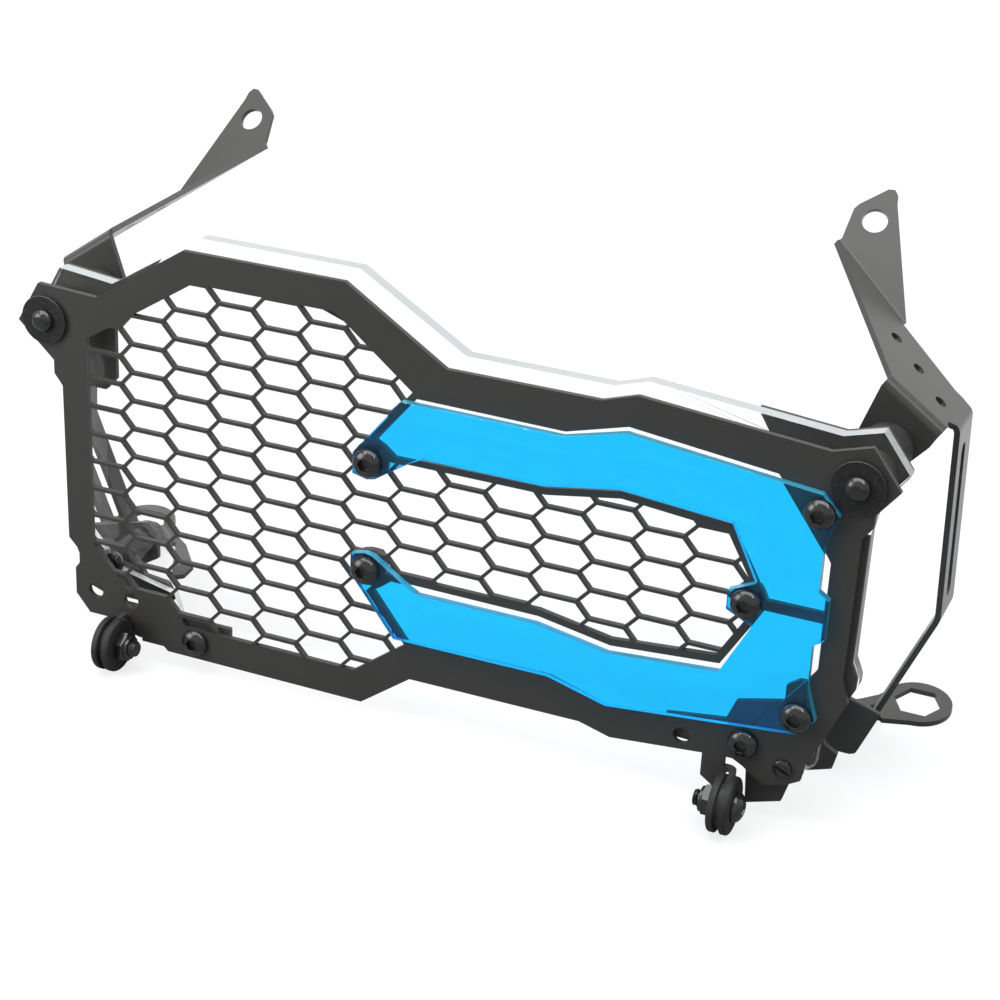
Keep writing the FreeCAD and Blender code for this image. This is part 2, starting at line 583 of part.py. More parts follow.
def fasteners():
    """Everything that clamps the layers, as groups of like pieces."""
    front = V(0, -1, 0)
    rear = V(0, 1, 0)
    corners = both_sides(CORNER)
    studs = both_sides(LOWER_STUD)
    end = TAB_Y + SHEET + NUT_H + COLLAR_H + THREAD_SHOWS
    lens_grip = LENS_T + SHEET + THIN_NUT_H + THREAD_SHOWS
    foot_grip = 2 * SHEET + THIN_NUT_H + THREAD_SHOWS
    slotted_grip = 2 * SHEET + SLOTTED_NUT_H + THREAD_SHOWS
    screws, nuts = roller_fasteners()
    slot_x, slot_z = SLOTTED
    groups = {
        "roller_screws": screws,
        "roller_nuts": nuts,
        "corner_washers": [ring(V(x, -WASHER_T, z), rear, WASHER_R, WASHER_T) for x, z in corners],
        "corner_bolts": [button_screw(V(x, -WASHER_T, z), front, WASHER_T + end, LOW_HEAD_R, LOW_HEAD_H)
                         for x, z in corners],
        "front_rubber_pads": [ring(V(x, SHEET, z), rear, FRONT_PAD_R, FRONT_PAD_T) for x, z in corners],
        "rear_rubber_pads": [ring(V(x, SPACER_Y, z), rear, REAR_PAD_R, REAR_PAD_T) for x, z in corners],
        "corner_nuts": [hex_nut(V(x, TAB_Y + SHEET, z), rear, collar=COLLAR_H) for x, z in corners],
        "lens_screws": [button_screw(V(x, -LENS_T, z), front, lens_grip) for x, z in LENS_SCREWS],
        "lens_nuts": [hex_nut(V(x, SHEET, z), rear, across=LENS_NUT_FLATS, h=THIN_NUT_H)
                      for x, z in LENS_SCREWS],
        "foot_screws": [button_screw(V(x, 0, z), front, foot_grip) for x, z in FOOT_SCREWS],
        "foot_nuts": [hex_nut(V(x, 2 * SHEET, z), rear, h=THIN_NUT_H) for x, z in FOOT_SCREWS],
        "slotted_screw": [slotted_screw(V(slot_x, 0, slot_z), front, slotted_grip)],
        "slotted_nut": [hex_nut(V(slot_x, 2 * SHEET, slot_z), rear, SLOTTED_R, SLOTTED_NUT_FLATS,
                                SLOTTED_NUT_H)],
        "lower_bolts": [button_screw(V(x, SHIELD_Y, z), front, end - SHIELD_Y) for x, z in studs],
        "lower_sleeves": [ring(V(x, SPACER_Y, z), rear, SLEEVE_R, REAR_PAD_T) for x, z in studs],
        "lower_nuts": [hex_nut(V(x, TAB_Y + SHEET, z), rear, collar=COLLAR_H) for x, z in studs],
    }
    return {name: Part.makeCompound(solids) for name, solids in groups.items()}


def build():
    """Every node of the guard, in the plate's own frame."""
    bracket = right_bracket()
    nodes = {"grille_plate": grille_plate(), "blue_lens": blue_lens(), "clear_shield": clear_shield(),
             "right_foot_plate": right_foot_plate(), "left_foot_plate": left_foot_plate(),
             "right_bracket": bracket, "left_bracket": mirror_x(bracket),
             "right_roller": roller(1), "left_roller": roller(-1)}
    nodes.update(backing_plates())
    nodes.update(fasteners())
    return nodes


def main():
    os.makedirs("parts", exist_ok=True)
    lean = FreeCAD.Placement(V(0, 0, 0), FreeCAD.Rotation(V(1, 0, 0), -LEAN))
    leaned = {}
    for name, shape in build().items():
        leaned[name] = shape.copy()
        leaned[name].Placement = lean.multiply(shape.Placement)
    box = Part.makeCompound(list(leaned.values())).optimalBoundingBox(False)
    shift = V(-(box.XMin + box.XMax) / 2, -(box.YMin + box.YMax) / 2, -box.ZMin)
    for name, shape in leaned.items():
        shape.translate(shift)
        shape.exportStep("parts/" + name + ".step")
        print(name, len(shape.Solids), round(shape.Volume), shape.isValid())
    print("moved by", shift)
    print("size", round(box.XLength, 2), round(box.YLength, 2), round(box.ZLength, 2))


main()
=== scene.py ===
"""The finishes of a motorcycle headlight guard: a leaning honeycomb plate with a blue lens, a clear
shield behind it, rubber rollers and two folded side brackets, on a pale studio floor.

Lengths are metres.  The plate's own frame has X to the right, Y to the back and Z up, with its
origin on the front face, midway between the two corner bolts.
"""

import math

import bmesh
import bpy
from mathutils import Matrix, Vector


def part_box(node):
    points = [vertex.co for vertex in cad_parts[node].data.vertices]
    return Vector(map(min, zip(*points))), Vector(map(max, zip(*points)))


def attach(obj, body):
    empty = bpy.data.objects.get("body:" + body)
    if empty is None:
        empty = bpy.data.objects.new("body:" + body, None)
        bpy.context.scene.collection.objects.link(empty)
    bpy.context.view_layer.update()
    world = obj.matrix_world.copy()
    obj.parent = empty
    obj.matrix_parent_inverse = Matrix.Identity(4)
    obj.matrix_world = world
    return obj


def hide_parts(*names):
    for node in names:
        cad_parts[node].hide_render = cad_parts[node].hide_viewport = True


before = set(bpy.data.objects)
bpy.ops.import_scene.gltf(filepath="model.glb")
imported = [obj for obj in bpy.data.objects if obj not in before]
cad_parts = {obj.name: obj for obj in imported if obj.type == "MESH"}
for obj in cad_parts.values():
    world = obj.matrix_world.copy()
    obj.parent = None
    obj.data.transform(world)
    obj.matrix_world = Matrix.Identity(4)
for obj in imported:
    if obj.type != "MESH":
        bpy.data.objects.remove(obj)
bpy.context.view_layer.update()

# Grille plate
# Laser-cut 2 mm steel with a satin black powder coat, folded forward at two lower lugs.
# It leans back, so the places of everything fixed to it are given in its own frame.
MM = 0.001
SHEET_T = 2.0 * MM
LEAN = math.radians(6.5)
WASHER_T = 1.5 * MM
COAT_BLACK = (0.048, 0.0465, 0.043, 1)
# Lighter grey of worn edges, which is also a painted highlight on them.
COAT_WORN_AND_EDGE_HIGHLIGHT = (0.13, 0.13, 0.13, 1)
COAT_DUST = (0.30, 0.30, 0.29, 1)
COAT_CLOUD = 28 * MM
COAT_PEEL = 0.55 * MM
COAT_GRIT = 0.9 * MM
COAT_SPECK = 0.35 * MM
CLOUD_LIFT = 1.35
RUBBED_PATCH = 4 * MM
SHEET_EASE = 0.22 * MM
WELD_REACH = 0.002 * MM


def plate_to_floor():
    """Places the plate's own frame on the floor, from where its corner washers lie."""
    low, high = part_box("corner_washers")
    turn = Matrix.Rotation(-LEAN, 4, "X")
    middle = turn @ Vector((0, -WASHER_T / 2, 0))
    return Matrix.Translation((low + high) / 2 - middle) @ turn


PLATE = plate_to_floor()
ACROSS_PLATE = (PLATE.to_3x3() @ Vector((0, -1, 0))).normalized()


class Wire:
    """One output of a shader node.  Arithmetic on it adds the Math nodes."""

    def __init__(self, board, socket):
        self.board = board
        self.socket = socket

    def math(self, operation, first, second=0.0):
        return self.board.node("ShaderNodeMath", {"operation": operation}, {0: first, 1: second})

    def __add__(self, other):
        return self.math("ADD", self, other)

    def __rsub__(self, other):
        return self.math("SUBTRACT", other, self)

    def __mul__(self, other):
        return self.math("MULTIPLY", self, other)

    __radd__ = __add__

    def __abs__(self):
        return self.math("ABSOLUTE", self)

    def above(self, edge, softness):
        """0 below the edge value, 1 above it, with a soft step between."""
        return self.board.node(
            "ShaderNodeMapRange", {"interpolation_type": "SMOOTHSTEP", "clamp": True},
            {"Value": self, "From Min": edge - softness, "From Max": edge + softness})


class Board:
    """The node tree of a material or of the room, with one method that adds any node."""

    def __init__(self, tree):
        self.tree = tree

    def node(self, kind, settings, inputs, output=0):
        """Adds a node of a kind, sets its settings, then its sockets' values or links."""
        made = self.tree.nodes.new(kind)
        for name, value in settings.items():
            setattr(made, name, value)
        for name, value in inputs.items():
            self.join(made.inputs[name], value)
        return Wire(self, made.outputs[output])

    def join(self, socket, value):
        if isinstance(value, Wire):
            self.tree.links.new(value.socket, socket)
        else:
            socket.default_value = value

    def ray(self, kind):
        return self.node("ShaderNodeLightPath", {}, {}, "Is " + kind + " Ray")


class Finish(Board):
    """A material whose Principled shader is driven by a few named patterns."""

    def __init__(self, name, **surface):
        self.material = bpy.data.materials.new(name)
        self.material.use_nodes = True
        super().__init__(self.material.node_tree)
        self.shader = self.tree.nodes["Principled BSDF"]
        for words, value in surface.items():
            self.shader.inputs[words.replace("_", " ")].default_value = value
        self.place = self.node("ShaderNodeTexCoord", {}, {}, "Object")

    def noise(self, size, detail=2.0, roughness=0.5, stretch=(1, 1, 1)):
        """Cloudy pattern whose blotches are about size metres across."""
        place = self.place
        if stretch != (1, 1, 1):
            place = self.node("ShaderNodeMapping", {}, {"Vector": place, "Scale": stretch})
        return self.node("ShaderNodeTexNoise", {}, {"Vector": place, "Scale": 1 / size, "Detail": detail,
                                                    "Roughness": roughness})

    def cells(self, size):
        return self.node("ShaderNodeTexVoronoi", {}, {"Vector": self.place, "Scale": 1 / size})

    def mix(self, factor, first, second):
        """Colour that runs from first to second as factor goes from 0 to 1."""
        return self.node("ShaderNodeMix", {"data_type": "RGBA"}, {0: factor, 6: first, 7: second}, 2)

    def bump(self, height, depth, strength=1.0, under=None):
        inputs = {"Height": height, "Distance": depth, "Strength": strength}
        if under is not None:
            inputs["Normal"] = under
        return self.node("ShaderNodeBump", {}, inputs)

    def facing(self, direction):
        """How squarely the bare surface faces a fixed direction, from -1 to 1."""
        normal = self.node("ShaderNodeNewGeometry", {}, {}, "True Normal")
        return self.node("ShaderNodeVectorMath", {"operation": "DOT_PRODUCT"},
                         {0: normal, 1: tuple(direction)}, "Value")

    def show(self, **links):
        for words, value in links.items():
            self.join(self.shader.inputs[words.replace("_", " ")], value)
        return self.material

    def own_shader(self):
        return Wire(self, self.shader.outputs[0])

    def surface(self, shader):
        self.join(self.tree.nodes["Material Output"].inputs["Surface"], shader)
        return self.material


def powder_coat(name, colour, gloss, wear, **surface):
    """Baked powder coat: a fine orange peel, slight clouding and dust, and wear in patches.
    On the edge finishes the lighter wear is partly real and partly a painted highlight.
    """
    coat = Finish(name, **surface)
    clouds = coat.noise(COAT_CLOUD, 3.0, 0.55)
    peel = coat.noise(COAT_PEEL)
    grit = coat.cells(COAT_GRIT)
    dust = coat.noise(COAT_SPECK, 1.0).above(0.70, 0.035) * clouds
    # Patches worn to a lighter grey, only where wear is set, on the edge finishes: partly wear, partly
    # painted highlight.
    rubbed = coat.noise(RUBBED_PATCH, 3.0, 0.6).above(0.5, 0.16) * wear
    lighter = tuple(CLOUD_LIFT * part for part in colour[:3]) + (1,)
    shade = coat.mix(clouds * 0.35 + peel * 0.12, colour, lighter)
    dusty = coat.mix(dust * 0.16, coat.mix(rubbed, shade, COAT_WORN_AND_EDGE_HIGHLIGHT), COAT_DUST)
    texture = coat.bump(grit, 0.02 * MM, 0.25, coat.bump(peel, 0.03 * MM, 0.45))
    return coat.show(Base_Color=dusty, Roughness=gloss + clouds * 0.10 + peel * 0.06, Normal=texture)


def ease(piece, width, finishes, angle=32):
    """Rounds a piece's sharp edges a little, gives its flats the first finish and the rounded edges
    the last one, and shades it smoothly.  The angle is the least that counts as an edge."""
    piece.data.materials.clear()
    for finish in finishes:
        piece.data.materials.append(finish)
    for polygon in piece.data.polygons:
        polygon.use_smooth = True
    weld = piece.modifiers.new("weld", "WELD")
    weld.merge_threshold = WELD_REACH
    bevel = piece.modifiers.new("eased edges", "BEVEL")
    bevel.width = width
    bevel.segments = 2
    bevel.limit_method = "ANGLE"
    bevel.angle_limit = math.radians(angle)
    bevel.material = len(finishes) - 1
    shade = piece.modifiers.new("even shading", "WEIGHTED_NORMAL")
    shade.weight = 60


def carve(piece, outlines, front, back):
    """Cuts prisms out of a piece of this script.  Each outline is a list of (x, z) in millimetres, and
    it is cut from the depth front to the depth back, in millimetres of the plate's frame."""
    tool = bmesh.new()
    for outline in outlines:
        ends = [[tool.verts.new(PLATE @ (Vector((x, y, z)) * MM)) for x, z in outline]
                for y in (front, back)]
        tool.faces.new(ends[0])
        tool.faces.new(ends[1])
        for corner in range(len(outline)):
            beside = (corner + 1) % len(outline)
            tool.faces.new((ends[0][corner], ends[0][beside], ends[1][beside], ends[1][corner]))
    bmesh.ops.recalc_face_normals(tool, faces=tool.faces)
    tool_mesh = bpy.data.meshes.new("cutter")
    tool.to_mesh(tool_mesh)
    tool.free()
    cutter = bpy.data.objects.new("cutter", tool_mesh)
    bpy.context.scene.collection.objects.link(cutter)
    weld = piece.modifiers.new("weld", "WELD")
    weld.merge_threshold = WELD_REACH
    cut = piece.modifiers.new("cut", "BOOLEAN")
    cut.operation = "DIFFERENCE"
    cut.solver = "EXACT"
    cut.object = cutter
    piece.modifiers.new("triangles", "TRIANGULATE")
    finished = piece.evaluated_get(bpy.context.evaluated_depsgraph_get())
    piece.data = bpy.data.meshes.new_from_object(finished)
    piece.modifiers.clear()
    bpy.data.objects.remove(cutter)


def add_piece(name, mesh, node):
    """An object of this script that rides with the guard and stands for a CAD node."""
    piece = bpy.data.objects.new(name, mesh)
    bpy.context.scene.collection.objects.link(piece)
    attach(piece, "root")
    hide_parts(node)
    return piece


# The top row of the honeycomb has two cells that the frame cuts across.  The CAD plate stops at
# the row below, so they are opened here.  The bend of the frame clips the right one's corner.
LEFT_CELL_X, RIGHT_CELL_X = -71.47, -36.31
CELL_FOOT_HALF, CELL_TOP_HALF = 6.16, 10.40
CELL_FOOT_Z, FRAME_Z = 18.79, 23.6
CLIPPED_SIDE, CLIPPED_TOP_X = (-29.05, 20.04), -33.6
TOP_CELLS = [[(LEFT_CELL_X - CELL_TOP_HALF, FRAME_Z), (LEFT_CELL_X - CELL_FOOT_HALF, CELL_FOOT_Z),
              (LEFT_CELL_X + CELL_FOOT_HALF, CELL_FOOT_Z), (LEFT_CELL_X + CELL_TOP_HALF, FRAME_Z)],
             [(RIGHT_CELL_X - CELL_TOP_HALF, FRAME_Z), (RIGHT_CELL_X - CELL_FOOT_HALF, CELL_FOOT_Z),
              (RIGHT_CELL_X + CELL_FOOT_HALF, CELL_FOOT_Z), CLIPPED_SIDE, (CLIPPED_TOP_X, FRAME_Z)]]
THROUGH_SHEET = (-2, 4)
# The edge finish is worn lighter in patches: partly real wear, partly a painted highlight on the edges.
plate_coat = [powder_coat("satin plate coat", COAT_BLACK, 0.42, 0.0),
              powder_coat("plate edge coat with wear and painted highlight", COAT_BLACK, 0.36, 0.5)]
plate_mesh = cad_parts["grille_plate"].data.copy()
# The normals that come with the CAD mesh no longer fit once cells are cut out of it.
normals = plate_mesh.attributes.get("custom_normal")
if normals:
    plate_mesh.attributes.remove(normals)
plate = add_piece("grille_plate_cut", plate_mesh, "grille_plate")
carve(plate, TOP_CELLS, *THROUGH_SHEET)
ease(plate, SHEET_EASE, plate_coat)

# Foot and backing plates
# Plain laser-cut sheet pieces in the same coat, bolted behind the grille plate and the shield.
# They carry the rollers' lugs and spread the load of the corner bolts.
for name in ("right_foot_plate", "left_foot_plate", "right_upper_backing_plate",
             "left_upper_backing_plate", "right_lower_backing_plate", "left_lower_backing_plate"):
    ease(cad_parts[name], SHEET_EASE, plate_coat)

# Side brackets
# One folded strip of 2 mm steel each side, slotted and drilled, with a foot ring at the bottom.
# The coat is a little greyer and smoother than the plate's.  Along the cut edges it is lighter
# # in patches: partly wear of the thinner coat there, partly a painted highlight.
BRACKET_BLACK = (0.058, 0.057, 0.0525, 1)
BRACKET_EASE = 0.18 * MM
BRACKET_SHINE = {"Specular_IOR_Level": 0.25, "Coat_Weight": 0.9, "Coat_IOR": 1.32, "Coat_Roughness": 0.26}
bracket_coat = [powder_coat("satin bracket coat", BRACKET_BLACK, 0.28, 0.0, **BRACKET_SHINE),
                powder_coat("bracket edge coat with wear and painted highlight", BRACKET_BLACK, 0.26, 0.6, **BRACKET_SHINE)]
for name in ("left_bracket", "right_bracket"):
    ease(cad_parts[name], BRACKET_EASE, bracket_coat, 40)

# Tinted lens
# A C-shaped cover laser-cut from 3 mm clear blue acrylic, held on the plate by five screws.
# The cut edges are a little frosted and gather light, so they glow a paler blue.
LENS_T = 3.0 * MM
LENS_EASE = 0.15 * MM
LENS_BLUE = (0.001, 0.525, 0.99, 1)
LENS_EDGE = (0.005, 0.56, 0.86, 1)
LENS_SHADOW = (0.25, 0.72, 0.98, 1)
ACRYLIC_SMEAR = (0.6, 0.7, 0.72, 1)
SMEAR_PATCH = 22 * MM
HAIRLINE = 0.6 * MM
SAW_MARK = 0.5 * MM


def clear_acrylic(name, face, cut_edge, lets_through, frost, haze):
    """Cast acrylic: clear faces with hairline marks, frosted cut edges, and a shadow that lets
    the light through."""
    sheet = Finish(name, Transmission_Weight=1.0, IOR=1.49)
    on_edge = 1 - abs(sheet.facing(ACROSS_PLATE)).above(0.6, 0.2)
    marks = sheet.noise(HAIRLINE, 2.0, 0.6, (1, 14, 3)).above(0.72, 0.05)
    smears = sheet.noise(SMEAR_PATCH, 3.0, 0.6)
    sheet.show(Base_Color=sheet.mix(smears * 0.012, face, ACRYLIC_SMEAR),
               Roughness=smears * haze + marks * 0.02, Normal=sheet.bump(smears, 0.02 * MM, 0.15))
    saw_marks = sheet.noise(SAW_MARK, 2.0, 0.6, (1, 12, 1))
    paler = tuple(part + 0.3 * (1 - part) for part in cut_edge)
    frosted = sheet.node("ShaderNodeBsdfPrincipled", {}, {
        "Base Color": sheet.mix(saw_marks * 0.5, cut_edge, paler),
        "Roughness": 0.28, "Normal": sheet.bump(saw_marks, 0.04 * MM, 0.5)})
    body = sheet.node("ShaderNodeMixShader", {}, {0: on_edge * frost, 1: sheet.own_shader(), 2: frosted})
    open_air = sheet.node("ShaderNodeBsdfTransparent", {}, {"Color": lets_through})
    shaded = {0: sheet.ray("Shadow"), 1: body, 2: open_air}
    return sheet.surface(sheet.node("ShaderNodeMixShader", {}, shaded))


ease(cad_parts["blue_lens"], LENS_EASE,
     [clear_acrylic("blue acrylic", LENS_BLUE, LENS_EDGE, LENS_SHADOW, frost=0.6, haze=0.02)])

# Clear shield
# A 5 mm clear cast acrylic sheet behind the grille, cut to nearly the same outline as the plate.
# It looks almost white over a white floor, with a pale grey line where its edge turns.
SHIELD_FACE = (0.985, 0.987, 0.985, 1)
SHIELD_EDGE = (0.74, 0.78, 0.80, 1)
SHIELD_SHADOW = (0.90, 0.91, 0.92, 1)
SHIELD_EASE = 0.2 * MM
ease(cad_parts["clear_shield"], SHIELD_EASE,
     [clear_acrylic("clear acrylic", SHIELD_FACE, SHIELD_EDGE, SHIELD_SHADOW, frost=0.7, haze=0.01)])

# Domed screws
# Black zinc steel screws with low domed heads and hexagon sockets, M6, driven from the front.
# The finish is thin: a metal sheen, turning marks and grey wear where a key has rubbed it.
ZINC_BLACK = (0.013, 0.013, 0.0135, 1)
ZINC_WORN = (0.15, 0.15, 0.155, 1)
ZINC_CLOUD = 3 * MM
ZINC_RUB = 1.3 * MM
ZINC_GRAIN = 0.16 * MM
AROUND = 48
SHANK_R = 3.0 * MM
THREAD_PITCH = 1.0 * MM
THREAD_DEPTH = 0.5 * MM
THREAD_LENGTH = 3.0 * MM
THREAD_RUNOUT = 1.1
RINGS_PER_TURN = 6
HEAD_R = 5.25 * MM
HEAD_H = 3.3 * MM
LOW_HEAD_R = 4.15 * MM
LOW_HEAD_H = 2.9 * MM
SOCKET_FLATS = 4.0 * MM
SOCKET_DEPTH = 2.0 * MM
SOCKET_BEVEL = 0.25 * MM
SOCKET_FLARE = 0.3 * MM
SOCKET_LIP = 0.02 * MM
SOCKET_POINT = 0.4 * MM
HEAD_EDGE = 0.2 * MM
RIM_SHARE = 0.16
DOME_STEP = math.radians(6.3)
DOME_FLATTENED = 1.12
STEPS_TO_SOCKET, STEPS_TO_CROWN = 11, 15
SHARP = math.radians(34)
JOIN_REACH = 0.0004 * MM
CORNERS = [(147.8, 0.0), (-147.8, 0.0)]
LENS_PLACES = [(-18.6, -26.55), (-18.6, -66.95), (137.4, -10.35), (137.4, -83.15), (116.9, -46.75)]
FOOT_PLACES = [(120.1, -99.0), (-88.2, -114.5)]
LOWER_STUDS = [(131.0, -97.0), (-131.0, -97.0)]
SHIELD_FRONT = 11.7 * MM
TAB_BACK = 38.0 * MM
BOLT_END = 45.2 * MM
THIN_NUT_H = 4.6 * MM
THREAD_SHOWS = 0.8 * MM
FRONT, REAR = Vector((0, -1, 0)), Vector((0, 1, 0))


def black_zinc(name, shine, gloss, wear):
    zinc = Finish(name, Specular_IOR_Level=shine)
    clouds = zinc.noise(ZINC_CLOUD, 3.0, 0.6)
    grain = zinc.noise(ZINC_GRAIN)
    rubbed = zinc.noise(ZINC_RUB, 3.0, 0.6).above(0.62, 0.10)
    colour = zinc.mix(rubbed * wear + clouds * 0.06, ZINC_BLACK, ZINC_WORN)
    return zinc.show(Base_Color=colour, Metallic=rubbed * 0.3, Roughness=gloss + clouds * 0.12,
                     Normal=zinc.bump(grain, 0.012 * MM, 0.35))


zinc_finish = black_zinc("black zinc", 0.8, 0.13, 0.2)


def round_ring(radius, height):
    return lambda turn: (radius, height)


def hexagon_radius(flats, turn):
    """Distance from the middle to the side of a hexagon, in the direction turn."""
    return flats / 2 / math.cos(turn % math.radians(60) - math.radians(30))


def hexagon_ring(flats, height, most=math.inf):
    """Hexagon whose corners are cut back to the radius most."""
    return lambda turn: (min(hexagon_radius(flats, turn), most), height)


def thread_ring(height, tip):
    """One turn of the shank, cut by the helix of the thread and chamfered at the tip."""
    crest = min(SHANK_R, SHANK_R - THREAD_DEPTH + (height - tip))

    def ring(turn):
        phase = (height / THREAD_PITCH - turn / (2 * math.pi)) % 1
        groove = THREAD_DEPTH * abs(2 * phase - 1)
        return min(crest, SHANK_R - groove), height
    return ring


def loft(name, rings, seats, node, finish, closed=False):
    """One mesh that joins the rings, once on each seat (a place and an axis in the plate's frame),
    and stands for a CAD node."""
    shape = bmesh.new()
    for place, axis in seats:
        upright = Vector((0, 0, 1)).rotation_difference(axis).to_matrix().to_4x4()
        stand = PLATE @ Matrix.Translation(place) @ upright
        loops = []
        for ring in rings:
            loops.append([])
            for step in range(AROUND):
                turn = 2 * math.pi * step / AROUND
                radius, height = ring(turn)
                spot = Vector((radius * math.cos(turn), radius * math.sin(turn), height))
                loops[-1].append(shape.verts.new(stand @ spot))
        pairs = list(zip(loops, loops[1:])) + ([(loops[-1], loops[0])] if closed else [])
        for lower, upper in pairs:
            for step in range(AROUND):
                beside = (step + 1) % AROUND
                shape.faces.new((lower[step], lower[beside], upper[beside], upper[step]))
    bmesh.ops.remove_doubles(shape, verts=shape.verts, dist=JOIN_REACH)
    bmesh.ops.recalc_face_normals(shape, faces=shape.faces)
    mesh = bpy.data.meshes.new(name)
    shape.to_mesh(mesh)
    shape.free()
    mesh.materials.append(finish)
    mesh.shade_smooth()
    mesh.set_sharp_from_angle(angle=SHARP)
    return add_piece(name, mesh, node)


def screw_rings(length, head_r, head_h, socket=True):
    """Rings of a domed screw from the tip of its shank to its crown or the floor of its socket."""
    rim = RIM_SHARE * head_h
    thread_rings = round(RINGS_PER_TURN * THREAD_LENGTH / THREAD_PITCH)
    rings = [round_ring(0, -length), round_ring(SHANK_R - THREAD_DEPTH, -length)]
    for k in range(thread_rings):
        rings.append(thread_ring(-length + THREAD_LENGTH * (k + 1) / thread_rings, -length))
    rings += [round_ring(SHANK_R, -length + THREAD_RUNOUT * THREAD_LENGTH), round_ring(SHANK_R, 0),
              round_ring(head_r - HEAD_EDGE, 0), round_ring(head_r, HEAD_EDGE)]
    for step in range(STEPS_TO_SOCKET if socket else STEPS_TO_CROWN):
        lift = DOME_STEP * step
        height = rim + (head_h - rim) * min(1, DOME_FLATTENED * math.sin(lift))
        rings.append(round_ring(head_r * math.cos(lift), height))
    if not socket:
        return rings + [round_ring(0, head_h)]
    socket_floor = head_h - SOCKET_DEPTH
    return rings + [hexagon_ring(SOCKET_FLATS + SOCKET_FLARE, head_h - SOCKET_LIP),
                    hexagon_ring(SOCKET_FLATS, head_h - SOCKET_BEVEL),
                    hexagon_ring(SOCKET_FLATS, socket_floor), round_ring(0, socket_floor - SOCKET_POINT)]


def across(places, y, axis):
    """Seats at the depth y for places given as (x, z) in millimetres."""
    return [(Vector((x * MM, y, z * MM)), axis) for x, z in places]


loft("corner_bolts_domed", screw_rings(WASHER_T + BOLT_END, LOW_HEAD_R, LOW_HEAD_H, socket=False),
     across(CORNERS, -WASHER_T, FRONT), "corner_bolts", zinc_finish)
loft("lens_screws_domed", screw_rings(LENS_T + SHEET_T + THIN_NUT_H + THREAD_SHOWS, HEAD_R, HEAD_H),
     across(LENS_PLACES, -LENS_T, FRONT), "lens_screws", zinc_finish)
loft("foot_screws_domed", screw_rings(2 * SHEET_T + THIN_NUT_H + THREAD_SHOWS, HEAD_R, HEAD_H),
     across(FOOT_PLACES, 0, FRONT), "foot_screws", zinc_finish)
loft("lower_bolts_domed", screw_rings(BOLT_END - SHIELD_FRONT, HEAD_R, HEAD_H),
     across(LOWER_STUDS, SHIELD_FRONT, FRONT), "lower_bolts", zinc_finish)

# Nuts
# Hexagon nuts in the same black zinc.  Those on the long bolts and the rollers have a nylon
# collar, and every corner is turned back by a chamfer.
NUT_FLATS = 10.0 * MM
NUT_H = 5.0 * MM
COLLAR_H = 1.4 * MM
FACE_SHARE = 0.485
CHAMFER_SLOPE = 0.55
CHAMFER_STEPS = 3
COLLAR_SHARE = 0.44
COLLAR_ROUND = 0.45 * MM
COLLAR_CORNER = 0.13 * MM
NYLON_EDGE = 0.8 * MM
NYLON_SUNK = 0.15 * MM
NYLON_SLOPE = 0.1 * MM
BORE_BEVEL = 0.3 * MM
LENS_NUT_FLATS = 9.0 * MM
SLOTTED_R = 2.5 * MM
SLOTTED_NUT_FLATS = 8.0 * MM
SLOTTED_NUT_H = 2.8 * MM
SLOTTED_PLACE = [(134.2, -104.8)]


def nut_rings(flats, height, collar=0.0, bore=SHANK_R):
    """Rings of a nut: up its outside, over its top and down its bore."""
    face = FACE_SHARE * flats
    cut = flats / math.sqrt(3) - face
    chamfer = [(CHAMFER_SLOPE * cut * step / CHAMFER_STEPS, face + cut * step / CHAMFER_STEPS)
               for step in range(1, CHAMFER_STEPS + 1)]
    rings = [round_ring(bore, 0), round_ring(face, 0)]
    rings += [hexagon_ring(flats, drop, most) for drop, most in chamfer]
    rings += [hexagon_ring(flats, height - drop, most) for drop, most in reversed(chamfer)]
    rings.append(round_ring(face, height))
    top = height
    if collar:
        top = height + collar
        wall = COLLAR_SHARE * flats
        rings += [round_ring(wall, height), round_ring(wall, top - COLLAR_ROUND),
                  round_ring(wall - COLLAR_CORNER, top - COLLAR_CORNER),
                  round_ring(wall - COLLAR_ROUND, top), round_ring(wall - NYLON_EDGE, top),
                  round_ring(wall - NYLON_EDGE - NYLON_SLOPE, top - NYLON_SUNK)]
        top -= NYLON_SUNK
    return rings + [round_ring(bore + BORE_BEVEL, top), round_ring(bore, top - BORE_BEVEL)]


loft("corner_nuts_collared", nut_rings(NUT_FLATS, NUT_H, COLLAR_H),
     across(CORNERS, TAB_BACK, REAR), "corner_nuts", zinc_finish, closed=True)
loft("lower_nuts_collared", nut_rings(NUT_FLATS, NUT_H, COLLAR_H),
     across(LOWER_STUDS, TAB_BACK, REAR), "lower_nuts", zinc_finish, closed=True)
loft("lens_nuts_chamfered", nut_rings(LENS_NUT_FLATS, THIN_NUT_H),
     across(LENS_PLACES, SHEET_T, REAR), "lens_nuts", zinc_finish, closed=True)
loft("foot_nuts_chamfered", nut_rings(NUT_FLATS, THIN_NUT_H),
     across(FOOT_PLACES, 2 * SHEET_T, REAR), "foot_nuts", zinc_finish, closed=True)
loft("slotted_nut_chamfered", nut_rings(SLOTTED_NUT_FLATS, SLOTTED_NUT_H, bore=SLOTTED_R),
     across(SLOTTED_PLACE, 2 * SHEET_T, REAR), "slotted_nut", zinc_finish, closed=True)

# Slotted screw, washers and sleeves
# The small slotted screw and the sleeves have the same finish as the bolts.  The two corner
# washers are stamped and tumbled, so they are duller.
SLOTTED_HEAD_R = 3.2 * MM
SLOTTED_HEAD_H = 1.6 * MM
SLOTTED_RIM = 0.9 * MM
SLOTTED_EDGE = 0.15 * MM
CROWN_STEP = math.radians(15)
CROWN_STEPS = 6
SLOT_W = 1.1
SLOT_REACH = 5
SLOT_FROM, SLOT_BOTTOM = -3, -0.75
SLOT_TURN = math.radians(-25)


